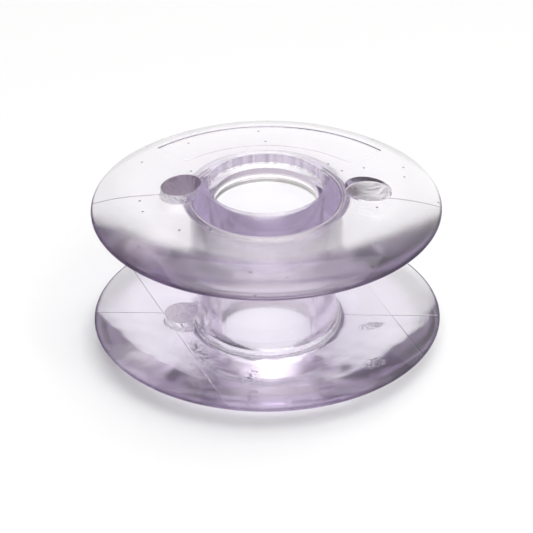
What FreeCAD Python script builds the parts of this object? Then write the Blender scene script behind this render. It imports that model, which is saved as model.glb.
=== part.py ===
import FreeCAD
import Part
import math
import os

# A domed spool for a sewing machine's bobbin case, moulded in one piece from
# clear plastic: two round flanges, flat on the thread side and crowned outside,
# joined by a hollow hub. All sizes are in millimetres, +Z is up the hub.

# Flanges, as thick as this at the bore, and a hub that is waisted: its side is
# hollow, so it widens towards both ends.
flange_diameter = 20.5
overall_height = 10.7
flange_thickness = 1.69
waist_diameter = 7.9
hub_side_round = 25.0
hub_fillet = 0.8

# Outer face of each flange: a flat seat, a crown that falls by some degrees, and a
# round shoulder that runs down to a thin rim.
seat_diameter = 7.4
crown_fall = 9.1
shoulder_radius = 6.0
rim_outer_round = 0.15
rim_inner_bevel = 0.05

# Bore that runs on the case's post, with a wider mouth and a sloped step at each end.
bore_diameter = 6.1
mouth_diameter = 6.8
mouth_depth = 0.57
mouth_step = 0.2
mouth_bevel = 0.08

# Hole that the thread's free end is drawn out through, one in each flange.
thread_hole_diameter = 2.3
thread_hole_offset = 4.96

# Dished recess where the plastic is gated into the mould, in the top flange, across
# the bore from the thread hole.
gate_recess_diameter = 2.76
gate_recess_offset = 5.94
gate_recess_depth = 0.75
gate_recess_dish = 0.12

# Blank panel let into the top flange, bounded by two arcs and slanted ends.
panel_depth = 0.08
panel_inner_reach = 4.61
panel_inner_half_width = 4.77
panel_inner_sag = 1.68
panel_outer_reach = 7.79
panel_outer_half_width = 6.66
panel_outer_sag = 2.45

# Heights of the flange faces and of the planes in which the rims are widest.
middle = overall_height / 2
lower_inner = flange_thickness
upper_inner = overall_height - flange_thickness
winding_width = upper_inner - lower_inner
upper_rim = upper_inner + rim_inner_bevel

rim_radius = flange_diameter / 2
waist_radius = waist_diameter / 2
seat_radius = seat_diameter / 2
bore_radius = bore_diameter / 2
mouth_radius = mouth_diameter / 2
step_foot = overall_height - mouth_depth - mouth_step

UP = FreeCAD.Vector(0, 0, 1)
AXIS_FOOT = FreeCAD.Vector(0, 0, 0)


def at(radius, height):
    """A point of the half section, in the plane y = 0."""
    return FreeCAD.Vector(radius, 0, height)


def line(start, end):
    return Part.LineSegment(start, end).toShape()


def arc(start, through, end):
    return Part.Arc(start, through, end).toShape()


def on_round(centre, radius, bearing):
    """A point on a round of the half section, its bearing taken up from level."""
    return centre + at(radius * math.cos(bearing), radius * math.sin(bearing))


def swing(centre, radius, start, end):
    """An arc of the half section about a centre, between two bearings."""
    return arc(on_round(centre, radius, start), on_round(centre, radius, (start + end) / 2),
               on_round(centre, radius, end))


def spin(edges):
    """Turn a closed half section about the hub's axis."""
    return Part.Face(Part.Wire(Part.sortEdges(edges)[0])).revolve(AXIS_FOOT, UP, 360)


# The crown falls straight from the seat's edge. The shoulder touches the crown
# and the rim's round from inside, so its centre lies on a line along the crown,
# at the point that is the right distance from the centre of the rim's round.
level = 0.0
upright = math.pi / 2
crown_angle = math.radians(crown_fall)
seat_edge = at(seat_radius, overall_height)
rim_centre = at(rim_radius - rim_outer_round, upper_rim)
down_crown = at(math.cos(crown_angle), -math.sin(crown_angle))
under_crown = at(-math.sin(crown_angle), -math.cos(crown_angle)) * shoulder_radius
from_rim = shoulder_radius - rim_outer_round
offset = seat_edge + under_crown - rim_centre
lead = offset.dot(down_crown)
crown_length = -lead - math.sqrt(lead ** 2 - offset.Length ** 2 + from_rim ** 2)
crown_end = seat_edge + down_crown * crown_length
shoulder_centre = crown_end + under_crown
shoulder_start = upright - crown_angle
shoulder_end = math.atan2(rim_centre.z - shoulder_centre.z, rim_centre.x - shoulder_centre.x)


def crown(sink):
    """Slope of the crown from the seat's edge out to the shoulder, sunk by an offset."""
    return line(seat_edge - UP * sink, crown_end - UP * sink)


def shoulder(sink):
    """Arc of the shoulder from the crown out to the rim, sunk by an offset."""
    return swing(shoulder_centre - UP * sink, shoulder_radius, shoulder_start, shoulder_end)


# The hub's fillet lies inside the hollow of its side, and touches that and the
# flange's inner face.
hub_side_centre = at(waist_radius + hub_side_round, middle)
fillet_reach = hub_side_round - hub_fillet
fillet_rise = upper_inner - hub_fillet - middle
fillet_start = 2 * upright - math.asin(fillet_rise / fillet_reach)
fillet_centre = on_round(hub_side_centre, fillet_reach, fillet_start)
hub_end_radius = on_round(hub_side_centre, hub_side_round, fillet_start).x

# Half section of the upper flange, from the hub round by the rim to the bore.
# The lower flange is its mirror image, and the hub joins the two.
bore_top = at(bore_radius, step_foot)
upper_flange = [
    swing(fillet_centre, hub_fillet, fillet_start, upright),
    line(at(fillet_centre.x, upper_inner), at(rim_radius - rim_inner_bevel, upper_inner)),
    line(at(rim_radius - rim_inner_bevel, upper_inner), at(rim_radius, upper_rim)),
    swing(rim_centre, rim_outer_round, level, shoulder_end),
    shoulder(0),
    crown(0),
    line(seat_edge, at(mouth_radius + mouth_bevel, overall_height)),
    line(at(mouth_radius + mouth_bevel, overall_height), at(mouth_radius, overall_height - mouth_bevel)),
    line(at(mouth_radius, overall_height - mouth_bevel), at(mouth_radius, overall_height - mouth_depth)),
    line(at(mouth_radius, overall_height - mouth_depth), bore_top),
]
lower_flange = [edge.mirror(at(0, middle), UP) for edge in upper_flange]
bore_bottom = at(bore_radius, overall_height - step_foot)
hub_side = swing(hub_side_centre, hub_side_round, fillet_start, 4 * upright - fillet_start)
bobbin = spin(upper_flange + lower_flange + [hub_side, line(bore_bottom, bore_top)])

# The line on which the turned surfaces close runs through the thread holes.
half_turn = 180
bobbin.rotate(AXIS_FOOT, UP, half_turn)

# The thread holes stand in line. Each drops straight through its flange and
# trims the fillet, and the hub's wall runs past their inner edges whole.
thread_drilling = Part.makeCylinder(thread_hole_diameter / 2, overall_height,
                                    FreeCAD.Vector(-thread_hole_offset, 0, 0), UP)
hub_wall = Part.makeCylinder(hub_end_radius, winding_width, at(0, lower_inner), UP)
bobbin = bobbin.cut(thread_drilling.cut(hub_wall))

# The gate recess has a straight wall and a floor dished like a shallow bowl.
gate_place = FreeCAD.Vector(gate_recess_offset, 0, 0)
gate_radius = gate_recess_diameter / 2
gate_floor = overall_height - gate_recess_depth
bowl_radius = (gate_radius ** 2 + gate_recess_dish ** 2) / (2 * gate_recess_dish)
gate_wall = Part.makeCylinder(gate_radius, overall_height, gate_place, UP)
gate_bowl = Part.makeSphere(bowl_radius, gate_place + UP * (gate_floor + bowl_radius))
gate_above = Part.makeCylinder(gate_radius, overall_height,
                               gate_place + UP * (gate_floor + gate_recess_dish), UP)
bobbin = bobbin.cut(gate_wall.common(gate_bowl).fuse(gate_above))

# The panel is as deep at its middle as at its ends: a skin of even depth is
# taken off the crown and shoulder, only inside the panel's outline.
skin_top = overall_height + panel_depth
skin_rim = on_round(shoulder_centre - UP * panel_depth, shoulder_radius, shoulder_end)
skin = spin([
    crown(panel_depth),
    shoulder(panel_depth),
    line(skin_rim, at(skin_rim.x, skin_top)),
    line(at(skin_rim.x, skin_top), at(seat_radius, skin_top)),
    line(at(seat_radius, skin_top), at(seat_radius, overall_height - panel_depth)),
])


def panel_corner(side, half_width, reach, sag):
    return FreeCAD.Vector(side * half_width, reach - sag, 0)


inner_left = panel_corner(-1, panel_inner_half_width, panel_inner_reach, panel_inner_sag)
inner_right = panel_corner(1, panel_inner_half_width, panel_inner_reach, panel_inner_sag)
outer_left = panel_corner(-1, panel_outer_half_width, panel_outer_reach, panel_outer_sag)
outer_right = panel_corner(1, panel_outer_half_width, panel_outer_reach, panel_outer_sag)
panel_outline = Part.Wire([
    arc(inner_left, FreeCAD.Vector(0, panel_inner_reach, 0), inner_right),
    line(inner_right, outer_right),
    arc(outer_right, FreeCAD.Vector(0, panel_outer_reach, 0), outer_left),
    line(outer_left, inner_left),
])
panel_column = Part.Face(panel_outline).extrude(UP * skin_top)
bobbin = bobbin.cut(skin.common(panel_column))

os.makedirs("parts", exist_ok=True)
bobbin.Solids[0].exportStep("parts/bobbin.step")
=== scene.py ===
import bmesh
import bpy
import math
from mathutils import Matrix, Vector


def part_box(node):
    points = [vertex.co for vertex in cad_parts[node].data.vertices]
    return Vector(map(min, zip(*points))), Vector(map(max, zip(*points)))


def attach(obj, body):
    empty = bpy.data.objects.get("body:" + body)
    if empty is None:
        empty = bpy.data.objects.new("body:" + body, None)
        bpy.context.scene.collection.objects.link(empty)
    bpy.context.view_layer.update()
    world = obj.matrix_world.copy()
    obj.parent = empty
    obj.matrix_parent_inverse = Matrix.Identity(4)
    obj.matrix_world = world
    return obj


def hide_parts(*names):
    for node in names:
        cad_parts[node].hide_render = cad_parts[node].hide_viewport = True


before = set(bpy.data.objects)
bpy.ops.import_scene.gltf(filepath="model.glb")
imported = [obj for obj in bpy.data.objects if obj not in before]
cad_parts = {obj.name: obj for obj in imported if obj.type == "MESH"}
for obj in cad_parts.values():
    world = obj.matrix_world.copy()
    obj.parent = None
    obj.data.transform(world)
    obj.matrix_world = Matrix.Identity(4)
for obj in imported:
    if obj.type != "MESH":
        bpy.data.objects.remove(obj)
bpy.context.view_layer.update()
scene = bpy.context.scene

# Bobbin body. A spool of clear, faintly lavender polystyrene, injection moulded in
# one piece: two flanges, flat inside and crowned outside, on a hollow hub. The
# mould parts along the plane y = 0, and the plastic enters at the round recess.
MM = 0.001
low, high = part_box("bobbin")
rim_radius = (high[0] - low[0]) / 2
top = high[2] - low[2]
middle = top / 2
inner_face = middle + 3.66 * MM
waist_radius = 3.95 * MM
hub_side_round = 25 * MM
hub_fillet = 0.8 * MM
seat_radius = 3.7 * MM
crown_fall = math.radians(8.5)
shoulder_radius = 8 * MM
rim_outer_round = 0.15 * MM
rim_inner_round = 0.05 * MM
bore_radius = 3.05 * MM
mouth_radius = 3.4 * MM
mouth_depth = 0.57 * MM
mouth_step = 0.2 * MM
mouth_lip = 0.08 * MM
support = 0.02 * MM
merge_reach = support / 100
turn_steps = 400
hole_sides = 96


def straight_to(section, tip, radius, height):
    """Draw a straight run of the section, held flat by a point near each end."""
    start = tip.co.copy()
    end = Vector((radius, 0, height))
    step = (end - start).normalized() * min(support, (end - start).length / 3)
    for place in (start + step, end - step, end):
        tip = bmesh.ops.extrude_vert_indiv(section, verts=[tip])["verts"][0]
        tip.co = place
    return tip


def round_about(section, tip, radius, height, degrees, steps):
    """Draw a round of the section by swinging its tip about a centre, clockwise if above 0."""
    swung = bmesh.ops.spin(section, geom=[tip], cent=(radius, 0, height), axis=(0, 1, 0),
                           angle=math.radians(degrees), steps=steps)
    return [part for part in swung["geom_last"] if isinstance(part, bmesh.types.BMVert)][0]


def turn(section, steps):
    """Turn a section about the upright axis into a closed shape whose faces point outwards."""
    bmesh.ops.spin(section, geom=section.verts[:] + section.edges[:], cent=(0, 0, 0), axis=(0, 0, 1),
                   angle=math.tau, steps=steps, use_merge=True)
    bmesh.ops.remove_doubles(section, verts=section.verts, dist=merge_reach)
    bmesh.ops.recalc_face_normals(section, faces=section.faces)


# The crown falls straight from the seat's edge, and the shoulder touches both the
# crown and the rim's round from inside.
rim_middle = inner_face + rim_inner_round
rim_centre = Vector((rim_radius - rim_outer_round, 0, rim_middle))
down_crown = Vector((math.cos(crown_fall), 0, -math.sin(crown_fall)))
under_crown = Vector((-math.sin(crown_fall), 0, -math.cos(crown_fall))) * shoulder_radius
offset = Vector((seat_radius, 0, top)) + under_crown - rim_centre
lead = offset.dot(down_crown)
reach = shoulder_radius - rim_outer_round
crown_length = -lead - math.sqrt(lead ** 2 - offset.length_squared + reach ** 2)
shoulder_centre = rim_centre + offset + down_crown * crown_length
to_rim = rim_centre - shoulder_centre
rim_turn = math.degrees(math.atan2(to_rim.z, to_rim.x))
shoulder_turn = 90 - math.degrees(crown_fall) - rim_turn

# The hub is waisted: its side is hollow, and the fillet lies inside that hollow and
# touches it and the inner face.
fillet_height = inner_face - hub_fillet
fillet_reach = hub_side_round - hub_fillet
side_turn = math.degrees(math.asin((fillet_height - middle) / fillet_reach))
side_centre = waist_radius + hub_side_round
fillet_centre = side_centre - fillet_reach * math.cos(math.radians(side_turn))
hub_end_radius = side_centre - hub_side_round * math.cos(math.radians(side_turn))

# Half section from the waist round by the rim to the bore, mirrored and turned.
spool = bmesh.new()
tip = spool.verts.new((waist_radius, 0, middle))
tip = round_about(spool, tip, side_centre, middle, side_turn, steps=10)
tip = round_about(spool, tip, fillet_centre, fillet_height, 90 - side_turn, steps=10)
tip = straight_to(spool, tip, rim_radius - rim_inner_round, inner_face)
tip = round_about(spool, tip, rim_radius - rim_inner_round, rim_middle, -90, steps=4)
tip = round_about(spool, tip, rim_centre.x, rim_centre.z, -rim_turn, steps=8)
tip = round_about(spool, tip, shoulder_centre.x, shoulder_centre.z, -shoulder_turn, steps=32)
tip = straight_to(spool, tip, seat_radius, top)
tip = straight_to(spool, tip, mouth_radius + mouth_lip, top)
tip = round_about(spool, tip, mouth_radius + mouth_lip, top - mouth_lip, -90, steps=6)
tip = straight_to(spool, tip, mouth_radius, top - mouth_depth)
tip = straight_to(spool, tip, bore_radius, top - mouth_depth - mouth_step)
tip = straight_to(spool, tip, bore_radius, middle)
bmesh.ops.mirror(spool, geom=spool.verts[:] + spool.edges[:], axis="Z", merge_dist=merge_reach,
                 matrix=Matrix.Translation((0, 0, -middle)))
turn(spool, turn_steps)


def solid(mesh_in_hand, name):
    """Turn a bmesh with outward normals into an object of that name."""
    mesh = bpy.data.meshes.new(name)
    mesh_in_hand.to_mesh(mesh)
    mesh_in_hand.free()
    made = bpy.data.objects.new(name, mesh)
    scene.collection.objects.link(made)
    return made


def cut(body, cutter):
    """Take the cutter's shape out of the body and throw the cutter away."""
    boolean = body.modifiers.new("cut", "BOOLEAN")
    boolean.object = cutter
    boolean.operation = "DIFFERENCE"
    boolean.solver = "EXACT"
    whole = body.evaluated_get(bpy.context.evaluated_depsgraph_get())
    mesh = bpy.data.meshes.new_from_object(whole)
    body.modifiers.clear()
    body.data = mesh
    bpy.data.objects.remove(cutter)


def pin(name, radius, bottom, height, place, sides):
    """A round cutter that stands on a height."""
    peg = bmesh.new()
    bmesh.ops.create_cone(peg, cap_ends=True, segments=sides, radius1=radius, radius2=radius, depth=height,
                          matrix=Matrix.Translation((place[0], place[1], bottom + height / 2)))
    return solid(peg, name)


bobbin = solid(spool, "bobbin_moulding")

# Thread holes in line through both flanges, past the hub's wall.
thread_hole_radius = 1.15 * MM
thread_hole_place = (-4.96 * MM, 0)
hub_height = 2 * (inner_face - middle)
drilling = pin("thread_drilling", thread_hole_radius, -top, 3 * top, thread_hole_place, hole_sides)
cut(drilling, pin("hub_wall", hub_end_radius, top - inner_face, hub_height, (0, 0), turn_steps))
cut(bobbin, drilling)

# Gate recess: a straight wall and a floor dished like a shallow bowl.
gate_radius = 1.38 * MM
gate_place = (5.94 * MM, 0)
gate_depth = 0.75 * MM
gate_dish = 0.12 * MM
gate_floor = top - gate_depth
bowl_radius = (gate_radius ** 2 + gate_dish ** 2) / (2 * gate_dish)
bowl_turn = math.degrees(math.asin(gate_radius / bowl_radius))
recess = bmesh.new()
tip = recess.verts.new((0, 0, gate_floor))
tip = round_about(recess, tip, 0, gate_floor + bowl_radius, -bowl_turn, steps=10)
tip = straight_to(recess, tip, gate_radius, 2 * top)
tip = straight_to(recess, tip, 0, 2 * top)
turn(recess, hole_sides)
bmesh.ops.translate(recess, verts=recess.verts, vec=(*gate_place, 0))
cut(bobbin, solid(recess, "gate_recess"))

# Blank panel, a skin of even depth taken off inside two arcs and slanted ends.
panel_depth = 0.08 * MM
panel_inner = {"reach": 4.61 * MM, "half_width": 4.77 * MM, "sag": 1.68 * MM}
panel_outer = {"reach": 7.79 * MM, "half_width": 6.66 * MM, "sag": 2.45 * MM}
panel = bmesh.new()
for border in (panel_inner, panel_outer):
    arc_radius = (border["half_width"] ** 2 + border["sag"] ** 2) / (2 * border["sag"])
    half_turn = math.asin(border["half_width"] / arc_radius)
    left_end = panel.verts.new((-border["half_width"], border["reach"] - border["sag"], middle))
    bmesh.ops.spin(panel, geom=[left_end], cent=(0, border["reach"] - arc_radius, middle), axis=(0, 0, 1),
                   angle=-2 * half_turn, steps=64)
bmesh.ops.bridge_loops(panel, edges=panel.edges[:])
raised = bmesh.ops.extrude_face_region(panel, geom=panel.faces[:])
bmesh.ops.translate(panel, vec=(0, 0, top),
                    verts=[part for part in raised["geom"] if isinstance(part, bmesh.types.BMVert)])
bmesh.ops.recalc_face_normals(panel, faces=panel.faces)
panel_cutter = solid(panel, "panel")
lowered = bmesh.new()
lowered.from_mesh(bobbin.data)
bmesh.ops.translate(lowered, verts=lowered.verts, vec=(0, 0, -panel_depth))
cut(panel_cutter, solid(lowered, "lowered_body"))
cut(bobbin, panel_cutter)

sharp_edge = math.radians(30)
bobbin.data.polygons.foreach_set("use_smooth", [True] * len(bobbin.data.polygons))
bobbin.data.set_sharp_from_angle(angle=sharp_edge)


def colour(code):
    """Linear RGBA of an sRGB hex colour."""
    parts = [int(code[place:place + 2], 16) / 255 for place in (1, 3, 5)]
    return [part / 12.92 if part <= 0.04045 else ((part + 0.055) / 1.055) ** 2.4 for part in parts] + [1]


def add(tree, kind, **values):
    """Add a node, set its properties by name, and set or link its inputs by name or by i and a number.

    A node that is given as a value is linked by the first of its outputs that is in use.
    """
    node = tree.nodes.new("ShaderNode" + kind)
    for name, value in values.items():
        if hasattr(node, name):
            setattr(node, name, value)
            continue
        inputs = [socket for socket in node.inputs if socket.enabled]
        if name[1:].isdigit():
            socket = inputs[int(name[1:])]
        else:
            socket = {each.name: each for each in inputs}[name.replace("_", " ")]
        if isinstance(value, bpy.types.Node):
            value = [output for output in value.outputs if output.enabled][0]
        if isinstance(value, bpy.types.NodeSocket):
            tree.links.new(value, socket)
        else:
            socket.default_value = value
    return node


# Moulded clear polystyrene: polished by the mould and tinted right through, so that it
# is nearly white where it is thin and purple where light runs along it.
plastic = bpy.data.materials.new("moulded_clear_polystyrene")
plastic.use_nodes = True
tree = plastic.node_tree
tree.nodes.clear()
place = add(tree, "TexCoord").outputs["Object"]
along = add(tree, "SeparateXYZ", Vector=place).outputs
flat = add(tree, "VectorMath", operation="MULTIPLY", i0=place, i1=(1, 1, 0))
radius = add(tree, "VectorMath", operation="LENGTH", i0=flat)

# The parts of the body that carry marks of their own, told apart by their heights.
near_face = 0.05 * MM
past_face = 0.02 * MM
between_flanges = add(tree, "Math", operation="COMPARE", i0=along["Z"], i1=middle,
                      i2=inner_face - middle + past_face)
in_flanges = add(tree, "Math", operation="SUBTRACT", i0=1, i1=between_flanges)
on_top = add(tree, "Math", operation="GREATER_THAN", i0=along["Z"], i1=inner_face + past_face)
underneath = add(tree, "Math", operation="LESS_THAN", i0=along["Z"], i1=top - inner_face - past_face)
upper_thread_side = add(tree, "Math", operation="COMPARE", i0=along["Z"], i1=inner_face, i2=near_face)
lower_thread_side = add(tree, "Math", operation="COMPARE", i0=along["Z"], i1=top - inner_face, i2=near_face)

# The melt leaves soft waves in the skin.
wave_length = 3.5 * MM
wave_height = 0.008 * MM
waves = add(tree, "TexNoise", Vector=place, Scale=1 / wave_length, Detail=2)
skin = add(tree, "Bump", Height=waves, Distance=wave_height)

# A fine raised line on the winding side, where the halves of the mould meet.
parting_crest = 0.01 * MM
parting_foot = 0.06 * MM
parting_height = 0.02 * MM
outside_bore = add(tree, "Math", operation="GREATER_THAN", i0=radius, i1=mouth_radius + 0.1 * MM)
winding_side = add(tree, "Math", operation="MULTIPLY", i0=between_flanges, i1=outside_bore)
off_parting = add(tree, "Math", operation="ABSOLUTE", i0=along["Y"])
parting = add(tree, "MapRange", interpolation_type="SMOOTHSTEP", Value=off_parting,
              From_Min=parting_foot, From_Max=parting_crest)
parting = add(tree, "Math", operation="MULTIPLY", i0=parting, i1=winding_side)
skin = add(tree, "Bump", Height=parting, Distance=parting_height, Normal=skin)

# Thread has rubbed fine rings into the lower flange's thread side.
rub_spacing = 0.25 * MM
rub_depth = 0.0015 * MM
rubs = add(tree, "TexNoise", noise_dimensions="1D", W=radius, Scale=1 / rub_spacing, Detail=3)
rubs = add(tree, "Math", operation="MULTIPLY", i0=rubs, i1=lower_thread_side)
skin = add(tree, "Bump", Height=rubs, Distance=rub_depth, Normal=skin)

# Two straight scores cross that side, as far from a line near the middle as each other.
score_across = (0.918, 0.397, 0)
score_middle = 0.52 * MM
score_reach = 6.23 * MM
score_floor = 0.01 * MM
score_edge = 0.05 * MM
score_depth = 0.02 * MM
off_score = add(tree, "VectorMath", operation="DOT_PRODUCT", i0=place, i1=score_across)
for step in (score_middle, score_reach):
    off_score = add(tree, "Math", operation="SUBTRACT", i0=off_score, i1=step)
    off_score = add(tree, "Math", operation="ABSOLUTE", i0=off_score)
scores = add(tree, "MapRange", interpolation_type="SMOOTHSTEP", Value=off_score,
             From_Min=score_edge, From_Max=score_floor)
scores = add(tree, "Math", operation="MULTIPLY", i0=scores, i1=lower_thread_side)
skin = add(tree, "Bump", invert=True, Height=scores, Distance=score_depth, Normal=skin)

# Scuffs there lie in four oval zones, and each is a cluster of small flecks.
fleck_size = 0.22 * MM
scuff_depth = 0.015 * MM
scuffed = 0
for x, y, degrees, half_length, half_width in ((-3.75, -4.4, -67, 2.1, 0.55), (6.4, -5.3, 30, 0.9, 0.6),
                                               (6.2, -1.2, 20, 1.0, 0.5), (-0.7, -6.8, 70, 1.1, 0.6)):
    zone = add(tree, "Mapping", vector_type="TEXTURE", Vector=flat, Location=(x * MM, y * MM, 0),
               Rotation=(0, 0, math.radians(degrees)), Scale=(half_length * MM, half_width * MM, MM))
    zone = add(tree, "VectorMath", operation="LENGTH", i0=zone)
    zone = add(tree, "MapRange", interpolation_type="SMOOTHSTEP", Value=zone, From_Min=1, From_Max=0.4)
    scuffed = add(tree, "Math", operation="MAXIMUM", i0=scuffed, i1=zone)
flecks = add(tree, "TexNoise", Vector=place, Scale=1 / fleck_size, Detail=3, Roughness=0.6, Distortion=0.5)
flecks = add(tree, "MapRange", Value=flecks, From_Min=0.49, From_Max=0.56)
scuffs = add(tree, "Math", operation="MULTIPLY", i0=flecks, i1=scuffed)
scuffs = add(tree, "Math", operation="MULTIPLY", i0=scuffs, i1=lower_thread_side)
skin = add(tree, "Bump", invert=True, Height=scuffs, Distance=scuff_depth, Normal=skin)

# The lower flange's outer face has sunk unevenly as it cooled.
sink_size = 2.2 * MM
sink_depth = 0.05 * MM
sinks = add(tree, "TexNoise", Vector=place, Scale=1 / sink_size, Detail=1)
sinks = add(tree, "Math", operation="MULTIPLY", i0=sinks, i1=underneath)
skin = add(tree, "Bump", Height=sinks, Distance=sink_depth, Normal=skin)

# The gate recess is torn and swirled, and the thread has roughened the holes' walls.
swirl_size = 1.4 * MM
swirl_depth = 0.25 * MM
from_gate = add(tree, "VectorMath", operation="DISTANCE", i0=flat, i1=(*gate_place, 0))
in_gate = add(tree, "MapRange", interpolation_type="SMOOTHSTEP", Value=from_gate,
              From_Min=gate_radius - 0.01 * MM, From_Max=gate_radius - 0.08 * MM)
over_gate_floor = add(tree, "Math", operation="GREATER_THAN", i0=along["Z"], i1=gate_floor - 0.1 * MM)
recessed = add(tree, "Math", operation="MULTIPLY", i0=in_gate, i1=over_gate_floor)
from_hole = add(tree, "VectorMath", operation="DISTANCE", i0=flat, i1=(*thread_hole_place, 0))
in_hole = add(tree, "MapRange", interpolation_type="SMOOTHSTEP", Value=from_hole,
              From_Min=thread_hole_radius + 0.05 * MM, From_Max=thread_hole_radius + 0.01 * MM)
holed = add(tree, "Math", operation="MULTIPLY", i0=in_hole, i1=in_flanges)
torn = add(tree, "Math", operation="MAXIMUM", i0=recessed, i1=holed)
swirl = add(tree, "TexNoise", Vector=place, Scale=1 / swirl_size, Detail=3, Distortion=3)
swirl = add(tree, "Math", operation="MULTIPLY", i0=swirl, i1=torn)
skin = add(tree, "Bump", Height=swirl, Distance=swirl_depth, Normal=skin)

# Draw marks run up the bore's wall, and are deepest in its mouths.
draw_width = 0.3 * MM
draw_stretch = 0.03
bore_draw_depth = 0.008 * MM
mouth_draw_depth = 0.04 * MM
in_bore = add(tree, "MapRange", interpolation_type="SMOOTHSTEP", Value=radius,
              From_Min=mouth_radius + 0.05 * MM, From_Max=mouth_radius + 0.02 * MM)
past_step = add(tree, "Math", operation="GREATER_THAN", i0=radius, i1=mouth_radius - 0.1 * MM)
in_mouth = add(tree, "Math", operation="MULTIPLY", i0=past_step, i1=in_bore)
stretched = add(tree, "VectorMath", operation="MULTIPLY", i0=place, i1=(1, 1, draw_stretch))
draws = add(tree, "TexNoise", Vector=stretched, Scale=1 / draw_width, Detail=3)
for where, depth in ((in_bore, bore_draw_depth), (in_mouth, mouth_draw_depth)):
    marks = add(tree, "Math", operation="MULTIPLY", i0=draws, i1=where)
    skin = add(tree, "Bump", Height=marks, Distance=depth, Normal=skin)

# Some specks of dark dust cling to the top.
dust_spacing = 2.2 * MM
dust_share = 0.45
dust = add(tree, "TexVoronoi", voronoi_dimensions="2D", Vector=flat, Scale=1 / dust_spacing).outputs
specks = add(tree, "MapRange", interpolation_type="SMOOTHSTEP", Value=dust["Distance"],
             From_Min=0.045, From_Max=0.02)
kept = add(tree, "SeparateColor", Color=dust["Color"])
kept = add(tree, "Math", operation="GREATER_THAN", i0=kept, i1=1 - dust_share)
specks = add(tree, "Math", operation="MULTIPLY", i0=specks, i1=kept)
specks = add(tree, "Math", operation="MULTIPLY", i0=specks, i1=on_top)

# Painted shade darkens the wall of the top hole and the front of both rims, as light that runs
# long ways through the plastic darkens them, and the left of the recess, as its dish shades it;
# a grey tint, as wear and dirt leave it, darkens the draw marks in the top mouth.
shade_middle = (gate_place[0] - 0.9 * MM, 0.35 * MM, 0)
shade_core = 0.1 * MM
shade_edge = 1.7 * MM
front_fade = 5 * MM
# Painted shade on the top hole's wall.
painted_hole_shade = add(tree, "Math", operation="MULTIPLY", i0=holed, i1=on_top)
# Painted shade on the left of the gate recess, where its dish falls in shade.
painted_gate_shade = add(tree, "VectorMath", operation="DISTANCE", i0=flat, i1=shade_middle)
painted_gate_shade = add(tree, "MapRange", interpolation_type="SMOOTHSTEP", Value=painted_gate_shade,
                 From_Min=shade_edge, From_Max=shade_core)
painted_gate_shade = add(tree, "Math", operation="MULTIPLY", i0=painted_gate_shade, i1=recessed)
# Painted shade on the front of both rims, darker as light running long ways through them darkens them.
at_rim = add(tree, "MapRange", interpolation_type="SMOOTHSTEP", Value=radius,
             From_Min=rim_radius - 0.19 * MM, From_Max=rim_radius - 0.09 * MM)
in_front = add(tree, "MapRange", interpolation_type="SMOOTHSTEP", Value=along["Y"],
               From_Min=front_fade, From_Max=0)
painted_rim_shade = add(tree, "Math", operation="MULTIPLY", i0=at_rim, i1=in_front)
streaks = add(tree, "MapRange", Value=draws, From_Min=0.42, From_Max=0.6, To_Max=0.7)
streaks = add(tree, "Math", operation="MULTIPLY", i0=streaks, i1=in_mouth)
streaks = add(tree, "Math", operation="MULTIPLY", i0=streaks, i1=on_top)
# The scuffs' dark flecks are wear; in the zone at the right they also paint the dark shade that light
# running inside the flange leaves there.
scuffs_and_painted_shade = add(tree, "Math", operation="MULTIPLY", i0=scuffs, i1=0.85)
surface_colour = colour("#ffffff")
for stain_or_painted_shade, shade in ((painted_hole_shade, "#8f8290"), (painted_gate_shade, "#5d515b"), (painted_rim_shade, "#a394ae"),
                     (streaks, "#8d8290"), (scuffs_and_painted_shade, "#564a5a"), (specks, "#2e2a2c")):
    surface_colour = add(tree, "Mix", data_type="RGBA", Factor=stain_or_painted_shade, A=surface_colour, B=colour(shade))

roughness = 0.09
for worn, added in ((upper_thread_side, 0.03), (scuffs, 0.25), (recessed, 0.2), (holed, 0.2)):
    roughness = add(tree, "Math", operation="MULTIPLY_ADD", i0=worn, i1=added, i2=roughness)
clear = add(tree, "BsdfPrincipled", Base_Color=surface_colour, IOR=1.59, Roughness=roughness,
            Transmission_Weight=1, Normal=skin)
tint = add(tree, "VolumeAbsorption", Color=colour("#b7a2c7"), Density=130)

# Lamps pass through to the table, least of all through the steep shoulder at the rim.
shade_inner = 8.5 * MM
shade_outer = 9.4 * MM
passed = add(tree, "MapRange", interpolation_type="SMOOTHSTEP", Value=radius,
             From_Min=shade_outer, From_Max=shade_inner)
passed = add(tree, "Mix", data_type="RGBA", Factor=passed, A=colour("#4a4450"), B=colour("#fcfbfd"))
let_through = add(tree, "BsdfTransparent", Color=passed)
ray = add(tree, "LightPath").outputs
surface = add(tree, "MixShader", i0=ray["Is Shadow Ray"], i1=clear, i2=let_through)
add(tree, "OutputMaterial", Surface=surface, Volume=tint)
bobbin.data.materials.clear()
bobbin.data.materials.append(plastic)
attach(bobbin, "root")
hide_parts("bobbin")

# Table top. A plain pale laminate board, 90 mm square, that the bobbin stands on.
# Seen through the plastic it is a little brighter, as the white backdrop is.
floor_half = 45 * MM
backdrop_lift = 0.1
board = bmesh.new()
bmesh.ops.create_grid(board, x_segments=1, y_segments=1, size=floor_half)
floor = solid(board, "floor")
laminate = bpy.data.materials.new("white_laminate")
laminate.use_nodes = True
tree = laminate.node_tree
tree.nodes.clear()
matt = add(tree, "BsdfDiffuse", Color=colour("#e7e8ea"))
ray = add(tree, "LightPath").outputs
lift = add(tree, "Math", operation="MAXIMUM", i0=ray["Is Glossy Ray"], i1=ray["Is Transmission Ray"])
lift = add(tree, "Math", operation="MULTIPLY", i0=lift, i1=backdrop_lift)
white = add(tree, "Emission", Color=colour("#ffffff"), Strength=lift)
lit_board = add(tree, "AddShader", i0=matt, i1=white)
add(tree, "OutputMaterial", Surface=lit_board)
floor.data.materials.append(laminate)

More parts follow.
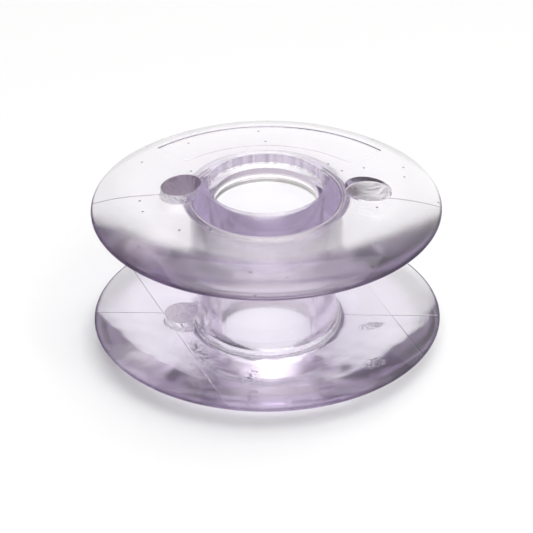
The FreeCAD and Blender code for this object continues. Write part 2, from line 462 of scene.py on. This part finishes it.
# Light and camera. A bright soft room with a dark card at the left and at the right,
# which draw the plastic's edges, and dimmer below the table. A softbox in front and a
# panel overhead light the bobbin, and a long lens looks down on it.
bright_middle = 0.25
cards_start = 0.3
cards_full = 0.85
room_level = 0.97
card_level = 0.03
below_table = 0.5
horizon_half = 0.05
room = bpy.data.worlds.new("room_with_dark_cards")
scene.world = room
room.use_nodes = True
tree = room.node_tree
tree.nodes.clear()
toward = add(tree, "TexCoord").outputs["Generated"]
toward = add(tree, "SeparateXYZ", Vector=toward).outputs
sideways = add(tree, "Math", operation="SUBTRACT", i0=toward["X"], i1=bright_middle)
sideways = add(tree, "Math", operation="ABSOLUTE", i0=sideways)
cards = add(tree, "MapRange", interpolation_type="SMOOTHSTEP", Value=sideways,
            From_Min=cards_start, From_Max=cards_full, To_Min=room_level, To_Max=card_level)
above_table = add(tree, "MapRange", Value=toward["Z"], From_Min=-horizon_half, From_Max=horizon_half,
                  To_Min=below_table)
level = add(tree, "Math", operation="MULTIPLY", i0=cards, i1=above_table)
lit = add(tree, "Background", Color=colour("#fffdf8"), Strength=level)
backdrop = add(tree, "Background", Color=colour("#ffffff"), Strength=1)
ray = add(tree, "LightPath").outputs
seen = add(tree, "MixShader", i0=ray["Is Camera Ray"], i1=lit, i2=backdrop)
add(tree, "OutputWorld", Surface=seen)


def soft_lamp(name, place, width, height, brightness):
    """A rectangular lamp of even brightness that faces the bobbin's middle."""
    light = bpy.data.lights.new(name, "AREA")
    light.shape = "RECTANGLE"
    light.size = width
    light.size_y = height
    light.energy = brightness * math.pi * width * height
    lamp = bpy.data.objects.new(name, light)
    scene.collection.objects.link(lamp)
    lamp.location = place
    lamp.rotation_mode = "QUATERNION"
    lamp.rotation_quaternion = (Vector((0, 0, middle)) - Vector(place)).to_track_quat("-Z", "Y")
    lamp.visible_camera = False


soft_lamp("front_softbox", (40 * MM, -125 * MM, 225 * MM), 200 * MM, 130 * MM, brightness=4.2)
soft_lamp("overhead_panel", (0, 20 * MM, 300 * MM), 300 * MM, 300 * MM, brightness=1.2)

photo_pixels = 533
focal_pixels = 3693
sensor = 36
camera_distance = 217.6 * MM
camera_turn = math.radians(2)
camera_rise = math.radians(31.65)
camera_roll = math.radians(-0.47)
look_at = Vector((-0.017 * MM, 0, middle - 0.37 * MM))
nearest = MM
farthest = 10
lens = bpy.data.cameras.new("camera")
lens.sensor_width = sensor
lens.lens = sensor * focal_pixels / photo_pixels
lens.clip_start = nearest
lens.clip_end = farthest
camera = bpy.data.objects.new("camera", lens)
scene.collection.objects.link(camera)
right = Vector((math.cos(camera_turn), math.sin(camera_turn), 0))
back = Vector((right.y, -right.x, 0)) * math.cos(camera_rise) + Vector((0, 0, math.sin(camera_rise)))
above = back.cross(right)
right, above = (right * math.cos(camera_roll) + above * math.sin(camera_roll),
                above * math.cos(camera_roll) - right * math.sin(camera_roll))
stance = Matrix((right, above, back)).transposed().to_4x4()
stance.translation = look_at + back * camera_distance
camera.matrix_world = stance
scene.camera = camera

# Light runs far along the flanges by reflection inside them before it leaves.
light_bounces = 32
scene.cycles.max_bounces = light_bounces
scene.cycles.transmission_bounces = light_bounces
scene.cycles.glossy_bounces = light_bounces
scene.view_settings.view_transform = "Standard"
